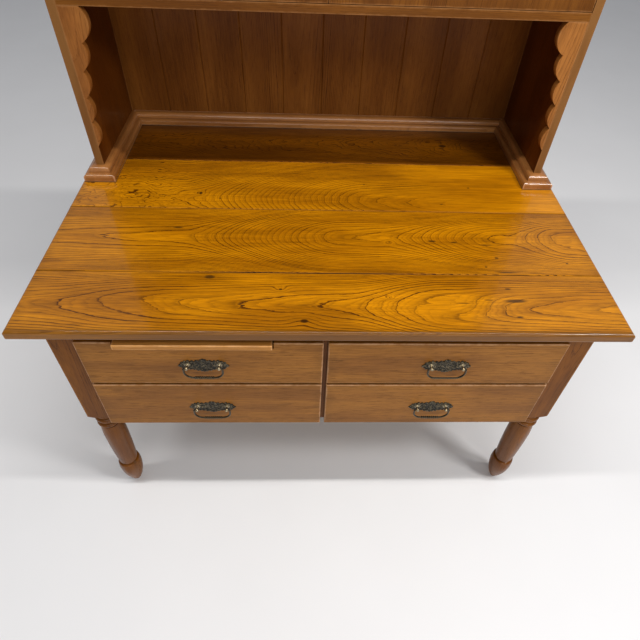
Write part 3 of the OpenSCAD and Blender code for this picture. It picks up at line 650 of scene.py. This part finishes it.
@dataclass
class Tabletop:
    """The four boards of the top, with the arches, knots and marks that they show."""

    # How far the joints lie behind the front edge
    joints: Row = (0.181, 0.421, 0.652)

    def figures(self) -> list[Figure]:
        """Returns the boards' figures, from the front board to the rear one."""
        back = ORIGIN_BACK
        joint_1, joint_2, joint_3 = (joint - back for joint in self.joints)
        front = Figure(
            axis=0.078 - back, close=1150.0, count=6.0, drift=0.02, uneven=1.6, seed=1.7,
            rushes=((-0.6, -0.4, 1.6), (0.05, 0.26, 5.0)),
            islands=((0.28, 0.085 - back, 0.1, 0.035, 2.6), (-0.42, 0.07 - back, 0.1, 0.03, 1.2)),
            knots=((-0.047, 0.035 - back, 0.0065), (-0.1, 0.128 - back, 0.003), (0.14, 0.105 - back, 0.0015)),
            marks=(
                (0.412, 0.135 - back, 0.008, 0.003), (0.42, 0.097 - back, 0.03, 0.006),
                (0.416, 0.05 - back, 0.009, 0.003), (-0.26, 0.165 - back, 0.014, 0.007),
                (0.3, 0.09 - back, 0.02, 0.002), (0.36, 0.1 - back, 0.012, 0.002),
            ),
            seams=((joint_1, 0.0012, -0.7, 0.7), (joint_1, 0.0024, -0.28, 0.17)),
        )
        second = Figure(
            axis=0.305 - back, close=1150.0, count=5.0, drift=0.03, uneven=2.0, seed=4.2,
            rushes=((-0.34, 0.04, 17.0), (0.15, 0.45, 9.0), (0.46, 0.6, 4.0)),
            islands=((0.61, 0.3 - back, 0.12, 0.05, 2.2),),
            knots=((0.16, 0.295 - back, 0.0025),),
            marks=(
                (0.397, 0.288 - back, 0.022, 0.0025), (0.413, 0.24 - back, 0.006, 0.004),
                (0.425, 0.19 - back, 0.03, 0.0022), (0.38, 0.208 - back, 0.004, 0.003),
                (-0.36, 0.34 - back, 0.014, 0.003), (0.58, 0.223 - back, 0.004, 0.003),
                (0.266, 0.3 - back, 0.012, 0.004), (0.32, 0.296 - back, 0.01, 0.003),
            ),
            seams=((joint_1, 0.001, -0.7, 0.7), (joint_1, 0.002, -0.28, 0.17), (joint_2, 0.0012, -0.7, 0.7)),
        )
        third = Figure(
            axis=0.47 - back, close=700.0, count=10.0, drift=0.05, uneven=2.0, seed=2.6,
            rushes=((-0.4, 0.14, 22.0),), curl=9.0, curl_end=-0.36, fade=(0.12, 0.42),
            knots=((-0.326, 0.488 - back, 0.0035),),
            marks=(
                (-0.326, 0.488 - back, 0.004, 0.008), (-0.273, 0.466 - back, 0.003, 0.003),
                (0.116, 0.542 - back, 0.003, 0.003), (0.408, 0.534 - back, 0.004, 0.003),
                (0.318, 0.455 - back, 0.005, 0.0025),
            ),
            seams=((joint_2, 0.0013, -0.7, 0.7), (joint_3, 0.001, -0.7, 0.7)),
        )
        rear = Figure(
            axis=0.76 - back, close=1300.0, count=30.0, drift=0.08, uneven=5.0, seed=8.1,
            curl=6.0, curl_end=2.0, knots=((0.376, 0.76 - back, 0.009),), seams=((joint_3, 0.0007, -0.7, 0.7),),
        )
        return [front, second, third, rear]

    def dress(self, nodes: Nodes) -> None:
        """Dresses the boards; wear and dirt follow the edges of the whole top.

        Args:
            nodes: The CAD nodes by name.
        """
        low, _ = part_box("top_board_1")
        _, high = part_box("top_board_4")
        # The rear board takes the darker colours of painted shade
        finishes = (TOP_VARNISH, TOP_VARNISH, TOP_VARNISH, REAR_PAINTED_SHADE)
        for number, (finish, figure) in enumerate(zip(finishes, self.figures()), start=1):
            name = f"top_board_{number}"
            paint_node(nodes[name], finish.dress(f"wood_{name}", figure, low, high))
            LOG.info("top board %d", number)


@dataclass
class Case(Assembly):
    """Legs, panels, rails, runners, guides and the bread board."""

    # Width of the broken arrises
    ease: float = 0.0008
    bread_ease: float = 0.0006

    def boards(self) -> list[Board]:
        """Returns the wooden nodes of the case."""
        ease = self.ease
        legs = (f"leg_{place}" for place in ("front_left", "front_right", "rear_left", "rear_right"))
        sides = ("side_panel_left", "side_panel_right")
        rails = ("rail_top", "rail_middle", "rail_bottom")
        bearers = ("runners", "bread_guides")
        return [
            *(Board.plain(name, LEG_VARNISH, Grain.ALONG_Z, Face.Y, 3000.0, 4.0) for name in legs),
            *(Board.plain(name, CASE_VARNISH, Grain.ALONG_Y, Face.X, 500.0, 20.0, ease) for name in sides),
            Board.plain("back_panel", BARE_WOOD, Grain.ALONG_X, Face.Y, 500.0, 14.0, ease),
            Board.plain("partition", PAINTED_SHADE_VARNISH, Grain.ALONG_Z, Face.X, ease=ease),
            # The rails carry painted shade
            *(Board.plain(name, GAP_PAINTED_SHADE, Grain.ALONG_X, Face.Y, ease=ease) for name in rails),
            *(Board.plain(name, BARE_WOOD, Grain.ALONG_Y, Face.X, ease=ease) for name in bearers),
            Board.plain("bread_board", BREAD_WOOD, Grain.ALONG_X, Face.Z, 600.0, 14.0, self.bread_ease),
        ]


def skin(
    mesh: bmesh.types.BMesh, rounds: Sequence[tuple[Vector, Vector, Vector, float]], around: int
) -> list[list[bmesh.types.BMVert]]:
    """Builds a skin over a row of circles.

    Args:
        mesh: The mesh that is added to.
        rounds: Each circle's middle, its two directions and its radius, which is 0 for a point.
        around: The number of steps round.

    Returns:
        The vertices of each circle.
    """
    rings = []
    for middle, side, other, radius in rounds:
        angles = [2 * math.pi * i / around for i in range(around if radius > 0 else 1)]
        rings.append([mesh.verts.new(middle + (side * math.cos(a) + other * math.sin(a)) * radius) for a in angles])
    for first, second in zip(rings, rings[1:]):
        for i in range(around):
            j = (i + 1) % around
            loop = (first[i % len(first)], first[j % len(first)], second[j % len(second)], second[i % len(second)])
            face = list(dict.fromkeys(loop))
            if len(face) > 2:
                mesh.faces.new(face)
    return rings


def revolve(mesh: bmesh.types.BMesh, profile: Sequence[Point], centre: Vector, axis: Vector) -> None:
    """Turns a profile round an axis.

    Args:
        mesh: The mesh that is added to.
        profile: Points of (radius, distance along the axis).
        centre: A point on the axis, where the distance is 0.
        axis: The axis's direction.
    """
    side = axis.orthogonal().normalized()
    other = axis.cross(side)
    skin(mesh, [(centre + axis * along, side, other, radius) for radius, along in profile], 28)


def sweep(mesh: bmesh.types.BMesh, path: Sequence[Vector], radii: Sequence[float]) -> None:
    """Runs a round section along a path that lies in a plane of constant Y.

    Args:
        mesh: The mesh that is added to.
        path: The middle line.
        radii: The radius at each of its points.
    """
    out = Vector((0.0, 1.0, 0.0))
    rounds = []
    for index, (middle, radius) in enumerate(zip(path, radii)):
        ahead = (path[min(index + 1, len(path) - 1)] - path[max(index - 1, 0)]).normalized()
        rounds.append((middle, ahead.cross(out).normalized(), out, radius))
    rings = skin(mesh, rounds, 14)
    mesh.faces.new(list(reversed(rings[0])))
    mesh.faces.new(rings[-1])


def place_object(name: str, data: bpy.types.ID) -> bpy.types.Object:
    """Puts a mesh, a lamp or a camera into the scene as a new object."""
    thing = bpy.data.objects.new(name, data)
    bpy.context.scene.collection.objects.link(thing)
    return thing


def make_piece(name: str, mesh: bmesh.types.BMesh, material: bpy.types.Material) -> bpy.types.Object:
    """Turns a finished mesh into an object with smooth shading.

    Args:
        name: The object's name.
        mesh: The mesh, which is freed.
        material: The material.

    Returns:
        The object.
    """
    bmesh.ops.recalc_face_normals(mesh, faces=mesh.faces[:])
    for face in mesh.faces:
        face.smooth = True
    data = bpy.data.meshes.new(name)
    mesh.to_mesh(data)
    mesh.free()
    data.materials.append(material)
    return place_object(name, data)


class Grip(Enum):
    """The two kinds of grip that the bails have."""

    BEADED = "beaded"
    PLAIN = "plain"


# Upper and lower outline of the plate's right half, and the curls along it, each with its place and its radius
CREST = ((0, 19.6), (4, 19), (9, 17.3), (24, 13.2), (35, 14.6), (45, 10.4), (51, 5.5), (56, -0.6))
KEEL = ((0, 20.4), (8, 19.2), (22, 14.0), (35, 13.2), (44, 10), (51, 6.5), (56, 1.4))
CURLS = (
    (0, 20.6, 2.9), (4, 18.8, 3.2), (14, 14.4, 4.2), (24.5, 14.2, 3.6), (33, 15.8, 3.2), (40, 13.2, 3.2),
    (46, 9, 3.6), (50, -1, 5.2), (44, -9.6, 3.6), (37, -12, 3.2), (30, -12.4, 3.2), (22, -13.6, 3.2),
    (14, -16.4, 3.2), (6, -19, 3.0), (0, -20.4, 3.0),
)
# Scrolls of the right half, each with its place, its size and its hand
SCROLLS = (
    (16.5, 5.5, 7.0, 1.0), (15.0, -7.0, 6.5, -1.0), (25.5, -1.0, 6.5, 1.0), (46.0, 0.0, 7.5, -1.0),
    (7.0, 13.5, 4.5, -1.0), (6.5, -14.0, 4.5, 1.0),
)
# Distance between the turns of a scroll
COIL = 3.9
# Profile of a post up to its head, from the drawer's face
POST = (
    (0.0, 0.0), (9.3, 0.0), (9.3, 1.0), (8.8, 1.8), (7.4, 2.2), (6.6, 2.1), (6.2, 2.6), (6.0, 3.2),
    (4.6, 3.7), (3.2, 4.4), (2.6, 5.8), (2.8, 8.4),
)


@dataclass
class StampedPull:
    """A stamped backplate with its two posts, and the bail that hangs in them. Sizes are in millimetres."""

    drawer: str
    grip: Grip = Grip.BEADED
    # The plate: half its length, half the field that its grid covers, and the grid's step
    half_length: float = 56.0
    field_x: float = 56.7
    field_z: float = 23.8
    step: float = 0.7
    # How high the plate's edge stands, and the rim that the relief ends on
    edge: float = 0.6
    rim: float = 0.3
    # The posts: their distance, their height over the plate's middle, and the radius of their heads
    centres: float = 70.0
    post_up: float = 4.0
    head: float = 4.2
    # How far behind the top's front edge the drawer's face lies, and how far the bail's axis stands out of it
    face: float = 8.0
    pivot_out: float = 12.8
    # The bail: radii of its ends, its rod and its beads, and their growth through the shoulder
    neck: float = 1.7
    rod: float = 2.2
    bead: float = 3.5
    swell: float = 0.14
    # The bail: its drop, half its width, and the radii of its shoulders and its lower bends
    drop: float = 33.0
    arm: float = 42.24
    shoulder: float = 2.4
    bend: float = 20.0
    _middle: Vector = field(default_factory=Vector, init=False)

    def shape(self, x: float, z: float) -> float:
        """Returns the distance from the plate's outline, negative inside.

        Args:
            x: The place along the plate, from its middle.
            z: The height above its middle.

        Returns:
            The distance, in millimetres.
        """
        x = abs(x)
        body = max(z - self.bent(CREST, x), -z - self.bent(KEEL, x), x - self.half_length) * 0.85
        return min(body, *(math.hypot(x - cx, z - cz) - radius for cx, cz, radius in CURLS))

    @staticmethod
    def bent(corners: Sequence[Point], x: float) -> float:
        """Returns the height of a line through corners, at a place along it."""
        for (x0, z0), (x1, z1) in zip(corners, corners[1:]):
            if x <= x1:
                return z0 + (z1 - z0) * (x - x0) / (x1 - x0)
        return corners[-1][1]

    def relief(self, x: float, z: float) -> float:
        """Returns how far the stamped face stands out at a point.

        Args:
            x: The place along the plate, from its middle.
            z: The height above its middle.

        Returns:
            The height over the plate's edge, in millimetres.
        """
        x = abs(x)
        inside = -self.shape(x, z)

        def ridge(distance: float, width: float) -> float:
            """Returns a rounded ridge across a distance."""
            return math.exp(-((distance / width) ** 2))

        # Beaded rim
        height = 0.3 + 0.9 * ridge(inside - 1.4, 0.9) * (0.75 + 0.25 * math.cos(2.2 * x + 1.3 * z))
        # Rosette in the middle
        around = math.hypot(x, z)
        angle = math.atan2(z, x)
        height += 2.0 * ridge(around, 2.4) + 1.5 * ridge(around - 6.4, 2.0) * (0.55 + 0.45 * math.cos(8 * angle))
        height += 0.8 * ridge(around - 10.4, 0.9)
        # Scrolls
        for cx, cz, size, hand in SCROLLS:
            reach = math.hypot(x - cx, z - cz)
            coil = (reach - 0.62 * math.atan2(z - cz, (x - cx) * hand)) % COIL
            if reach < size:
                height += 1.5 * ridge(min(coil, COIL - coil), 1.0) * (1 - reach / size) ** 0.4
        # Leaf towards the end, and a fine pattern outside the rosette
        height += 0.9 * ridge(math.hypot(x - 35, z - 4) - 11.0, 1.1)
        height += 0.5 * math.sin(1.9 * x) * math.sin(1.7 * z) * (1 - ridge(around, 11))
        return max(height, 0.15) * min(1.0, max(inside, 0.0) / 0.8)

    def plate(self, material: bpy.types.Material) -> bpy.types.Object:
        """Builds the plate with its relief and its posts.

        Args:
            material: The brass.

        Returns:
            The plate.
        """
        mesh = bmesh.new()
        grid: dict[tuple[int, int], Point] = {}
        for i in range(int(2 * self.field_x / self.step) + 1):
            for j in range(int(2 * self.field_z / self.step) + 1):
                x = -self.field_x + i * self.step
                z = -self.field_z + j * self.step
                if self.shape(x, z) < 0:
                    grid[(i, j)] = (x, z)
        cells = [(i, j) for (i, j) in grid if {(i + 1, j), (i, j + 1), (i + 1, j + 1)} <= grid.keys()]
        count: dict[tuple[int, int], int] = {}
        for i, j in cells:
            for key in ((i, j), (i + 1, j), (i, j + 1), (i + 1, j + 1)):
                count[key] = count.get(key, 0) + 1
        verts: dict[tuple[int, int], bmesh.types.BMVert] = {}
        for key, used in count.items():
            x, z = grid[key]
            out = self.rim
            if used < 4:
                x, z = self.snap(x, z)
            else:
                out = self.relief(x, z)
            verts[key] = mesh.verts.new(self.spot(x, self.face - self.edge - out, z))
        for i, j in cells:
            mesh.faces.new((verts[(i, j)], verts[(i + 1, j)], verts[(i + 1, j + 1)], verts[(i, j + 1)]))
        made = bmesh.ops.extrude_edge_only(mesh, edges=[edge for edge in mesh.edges if edge.is_boundary])
        for item in made["geom"]:
            if isinstance(item, bmesh.types.BMVert):
                item.co.y = self.face * MM - ORIGIN_BACK
        for side in (-1, 1):
            self.post(mesh, side)
        return make_piece(f"{self.drawer}_stamped_plate", mesh, material)

    def snap(self, x: float, z: float) -> Point:
        """Moves a point on the grid's rim out to the outline.

        Args:
            x: The place along the plate.
            z: The height above its middle.

        Returns:
            The nearest point of the outline.
        """
        near = 0.05
        for _ in range(3):
            gap = self.shape(x, z)
            slope_x = (self.shape(x + near, z) - self.shape(x - near, z)) / (2 * near)
            slope_z = (self.shape(x, z + near) - self.shape(x, z - near)) / (2 * near)
            size = max(math.hypot(slope_x, slope_z), 0.3)
            x -= gap * slope_x / size
            z -= gap * slope_z / size
        return x, z

    def spot(self, x: float, y: float, z: float) -> Vector:
        """Returns a point in the part's frame; x and z start at the plate's middle, y at the front edge."""
        return Vector((self._middle.x + x * MM, y * MM - ORIGIN_BACK, self._middle.z + z * MM))

    def post(self, mesh: bmesh.types.BMesh, side: int) -> None:
        """Adds a turned post with its round head.

        Args:
            mesh: The plate's mesh.
            side: 1 for the right-hand post and -1 for the left-hand one.
        """
        profile = list(POST)
        steps = 12
        for i in range(steps):
            angle = math.radians(-48 + 138 * i / steps)
            profile.append((self.head * math.cos(angle), self.pivot_out + self.head * math.sin(angle)))
        profile.append((0.0, self.pivot_out + self.head))
        scaled = [(radius * MM, along * MM) for radius, along in profile]
        revolve(mesh, scaled, self.spot(side * self.centres / 2, self.face, self.post_up), Vector((0, -1, 0)))

    def bail(self, material: bpy.types.Material) -> bpy.types.Object:
        """Builds the bail.

        Args:
            material: The brass.

        Returns:
            The bail.
        """
        mesh = bmesh.new()
        points: list[Vector] = []
        radii: list[float] = []

        def add(x: float, z: float, radius: float) -> None:
            """Adds one point of the middle line."""
            points.append(self.spot(x, self.face - self.pivot_out, self.post_up + z))
            radii.append(radius * MM)

        low = -self.drop
        arm, bend, shoulder = self.arm, self.bend, self.shoulder
        # The left end, from inside its post's head out to the shoulder, down the arm and round the lower bend
        tip = self.centres / 2 - 0.7 * self.head
        for i in range(5):
            add(-tip - (arm - shoulder - tip) * i / 4, 0.0, self.neck)
        for i in range(1, 6):
            angle = math.radians(18 * i)
            add(-arm + shoulder - shoulder * math.sin(angle), shoulder * (math.cos(angle) - 1),
                self.neck + self.swell * i)
        for i in range(1, 8):
            add(-arm, -shoulder + (low + bend + shoulder) * i / 8, self.rod)
        for i in range(13):
            angle = math.radians(7.5 * i)
            add(-arm + bend - bend * math.cos(angle), low + bend - bend * math.sin(angle), self.rod)
        end = list(zip(points, radii))
        # The grip, with nine beads or plain
        reach = arm - bend
        pitch = (reach - self.bead * 0.8) / 4
        steps = 120 if self.grip is Grip.BEADED else 20
        for i in range(1, steps):
            x = -reach + 2 * reach * i / steps
            radius = self.rod
            if self.grip is Grip.BEADED:
                place = (x + 0.5 * pitch) % pitch - 0.5 * pitch
                radius = max(1.9, math.sqrt(max(self.bead**2 - place**2 * 1.6, 0.0)))
            add(x, low, radius)
        # The right end, which mirrors the left one
        for point, radius in reversed(end):
            points.append(Vector((2 * self._middle.x - point.x, point.y, point.z)))
            radii.append(radius)
        sweep(mesh, points, radii)
        return make_piece(f"{self.drawer}_swinging_bail", mesh, material)

    def build(self) -> None:
        """Builds both pieces and puts them in place of their CAD nodes."""
        low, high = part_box(f"{self.drawer}_bail")
        pivot = high.z - self.rod * 1.2 * MM
        self._middle = Vector(((low.x + high.x) / 2, 0.0, pivot - self.post_up * MM))
        face = self.face * MM - ORIGIN_BACK
        axis = face - self.pivot_out * MM
        plate = self.plate(PULL_BRASS.dress(f"brass_{self.drawer}_plate", face - 0.0008, face - 0.0045))
        bail = self.bail(BAIL_BRASS.dress(f"brass_{self.drawer}_bail", axis + 0.001, axis - 0.0036))
        for piece, body, node in ((plate, "drawer", "plate"), (bail, "handle", "bail")):
            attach(piece, f"{self.drawer}_{body}")
            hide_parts(f"{self.drawer}_{node}")
        LOG.info("pull of drawer %s, %s grip", self.drawer, self.grip.value)


@dataclass
class Drawer(Assembly):
    """A lipped drawer: its front, its dovetailed box, its bottom and its pull."""

    name: str
    grip: Grip
    # How fast the arches of the front close up, and its rings in a metre
    close: float
    count: float

    def boards(self) -> list[Board]:
        """Returns the drawer's wooden nodes."""
        front = Board.plain(
            f"{self.name}_front", DRAWER_VARNISH, Grain.ALONG_X, Face.Y, self.close, self.count, axis=2.6
        )
        return [
            replace(front, figure=replace(front.figure, uneven=0.8, drift=0.012)),
            Board.plain(f"{self.name}_box", BARE_WOOD, Grain.ALONG_Y, Face.X, 900.0, 12.0),
            Board.plain(f"{self.name}_bottom", BARE_WOOD, Grain.ALONG_X, Face.Z, 300.0, 18.0),
        ]

    def dress(self, nodes: Nodes) -> None:
        """Dresses the drawer and builds its pull, with the CAD nodes by name."""
        super().dress(nodes)
        StampedPull(self.name, self.grip).build()


@dataclass
class UpperCase(Assembly):
    """Side boards, back boarding, mouldings, brackets and the cupboard with its two doors."""

    # Width of the broken arrises
    ease: float = 0.0008
    bracket_ease: float = 0.0006

    def boards(self) -> list[Board]:
        """Returns the wooden nodes of the upper part."""
        ease = self.ease
        z = Grain.ALONG_Z
        found = []
        for side in ("left", "right"):
            found += [
                Board.plain(f"hutch_side_{side}", SIDE_SHADE_AND_LIT_EDGE, z, Face.X, 500.0, 18.0, ease),
                Board.plain(f"bracket_{side}", EDGE_VARNISH, z, Face.Y, 1500.0, 10.0, self.bracket_ease),
                Board.plain(f"base_moulding_{side}", MOULDING_VARNISH, Grain.ALONG_Y, Face.X),
                Board.plain(f"door_{side}_frame", CASE_VARNISH, z, Face.Y, 900.0, 10.0, ease),
                Board.plain(f"door_{side}_panel", CASE_VARNISH, z, Face.Y, 400.0, 20.0),
            ]
        found.append(Board.plain("hutch_back", PAINTED_SHADE_VARNISH, z, Face.Y))
        for name in ("cupboard_floor", "cupboard_shelf", "cupboard_top"):
            found.append(Board.plain(name, CASE_VARNISH, Grain.ALONG_X, Face.Z, 500.0, 16.0, ease))
        for name in ("base_moulding_back", "cornice"):
            found.append(Board.plain(name, MOULDING_VARNISH, Grain.ALONG_X, Face.Y))
        return found

    def dress(self, nodes: Nodes) -> None:
        """Dresses the upper part, and its hinges and knobs.

        Args:
            nodes: The CAD nodes by name.
        """
        super().dress(nodes)
        for name in ("door_left_hinges", "door_right_hinges", "hinge_leaves", "door_left_knob", "door_right_knob"):
            low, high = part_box(name)
            paint_node(nodes[name], HINGE_BRASS.dress(f"brass_{name}", high.y, low.y))
            LOG.info("metal %s", name)


@dataclass(frozen=True)
class Lamp:
    """An area lamp: its place, the point that it faces, its width and depth in metres, and its power in watts."""

    name: str
    at: Place
    to: Place
    size: Point
    power: float
    colour: Colour

    def hang(self) -> None:
        """Adds the lamp to the scene."""
        data = bpy.data.lights.new(self.name, "AREA")
        data.shape = "RECTANGLE"
        data.size, data.size_y = self.size
        data.energy = self.power
        data.color = self.colour
        lamp = place_object(self.name, data)
        lamp.location = self.at
        lamp.rotation_euler = (Vector(self.to) - Vector(self.at)).to_track_quat("-Z", "Y").to_euler()
        lamp.visible_camera = False


@dataclass
class Studio:
    """A pale floor, soft light and a camera where the photographer stood."""

    # The camera: its place, its angles in degrees, its lens in millimetres, and its shift
    stand: Place = (-0.0474, -1.1254, 1.5573)
    down: float = 45.153
    turn: float = 3.576
    roll: float = -3.055
    lens: float = 29.28
    shift: Point = (-0.0114, -0.0467)
    # The floor: half its width, and its darkest and palest colour
    reach: float = 9.0
    dusty: Colour = (0.7566, 0.7566, 0.7663)
    clean: Colour = (0.8034, 0.8034, 0.8137)
    # The light from all round
    sky: Colour = (0.93, 0.95, 1.0)
    sky_strength: float = 0.3
    lamps: tuple[Lamp, ...] = (
        Lamp("ceiling_strip", (0.0, -0.72, 5.0), (0.0, -0.72, 4.0), (5.0, 0.14), 154.0, (1.0, 0.98, 0.95)),
        Lamp("front_panel", (0.5, -4.2, 1.5), (0.0, -0.3, 0.6), (3.4, 1.2), 52.0, (1.0, 0.98, 0.96)),
        Lamp("side_panel", (1.5, -1.1, 2.2), (0.5, 0.0, 0.75), (0.4, 0.4), 22.0, (1.0, 0.98, 0.96)),
    )

    def camera(self) -> None:
        """Sets up the camera."""
        down = math.radians(self.down)
        turn = math.radians(self.turn)
        roll = math.radians(self.roll)
        ahead = Vector((math.sin(turn) * math.cos(down), math.cos(turn) * math.cos(down), -math.sin(down)))
        level = Vector((math.cos(turn), -math.sin(turn), 0.0))
        below = ahead.cross(level)
        right = level * math.cos(roll) + below * math.sin(roll)
        under = below * math.cos(roll) - level * math.sin(roll)
        data = bpy.data.cameras.new("camera")
        data.lens = self.lens
        data.sensor_width = 36.0
        data.sensor_fit = "HORIZONTAL"
        data.shift_x, data.shift_y = self.shift
        data.clip_start = 0.05
        camera = place_object("camera", data)
        turned = Matrix((right, -under, -ahead)).transposed()
        camera.matrix_world = Matrix.Translation(self.stand) @ turned.to_4x4()
        bpy.context.scene.camera = camera

    def floor(self) -> None:
        """Lays the pale floor."""
        mesh = bmesh.new()
        bmesh.ops.create_grid(mesh, x_segments=1, y_segments=1, size=self.reach)
        paint = Paint("pale_floor")
        dust = paint.noise(paint.place(), 3.0, scale=3.0)
        material = paint.finish(Base_Color=paint.blend(dust, self.dusty, self.clean), Roughness=0.6)
        make_piece("pale_floor", mesh, material)

    def world(self) -> None:
        """Sets the light that comes from all round."""
        world = bpy.data.worlds.new("soft_light")
        world.use_nodes = True
        back = world.node_tree.nodes["Background"]
        back.inputs["Color"].default_value = (*self.sky, 1.0)
        back.inputs["Strength"].default_value = self.sky_strength
        bpy.context.scene.world = world

    def build(self) -> None:
        """Builds the studio."""
        self.camera()
        self.world()
        self.floor()
        for lamp in self.lamps:
            lamp.hang()
        bpy.context.scene.view_settings.view_transform = "Standard"
        LOG.info("studio with %d lamps", len(self.lamps))


def main() -> None:
    """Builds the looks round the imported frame."""
    logging.basicConfig(level=logging.INFO, format="%(message)s")
    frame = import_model()
    nodes = frame["nodes"]
    Studio().build()
    for group in (
        Tabletop(),
        Case(),
        Drawer("upper_left", Grip.BEADED, 900.0, 2.0),
        Drawer("upper_right", Grip.PLAIN, 1100.0, 2.0),
        Drawer("lower_left", Grip.BEADED, 700.0, 2.0),
        Drawer("lower_right", Grip.BEADED, 800.0, 3.0),
        UpperCase(),
    ):
        group.dress(nodes)


if __name__ == "__main__":
    main()
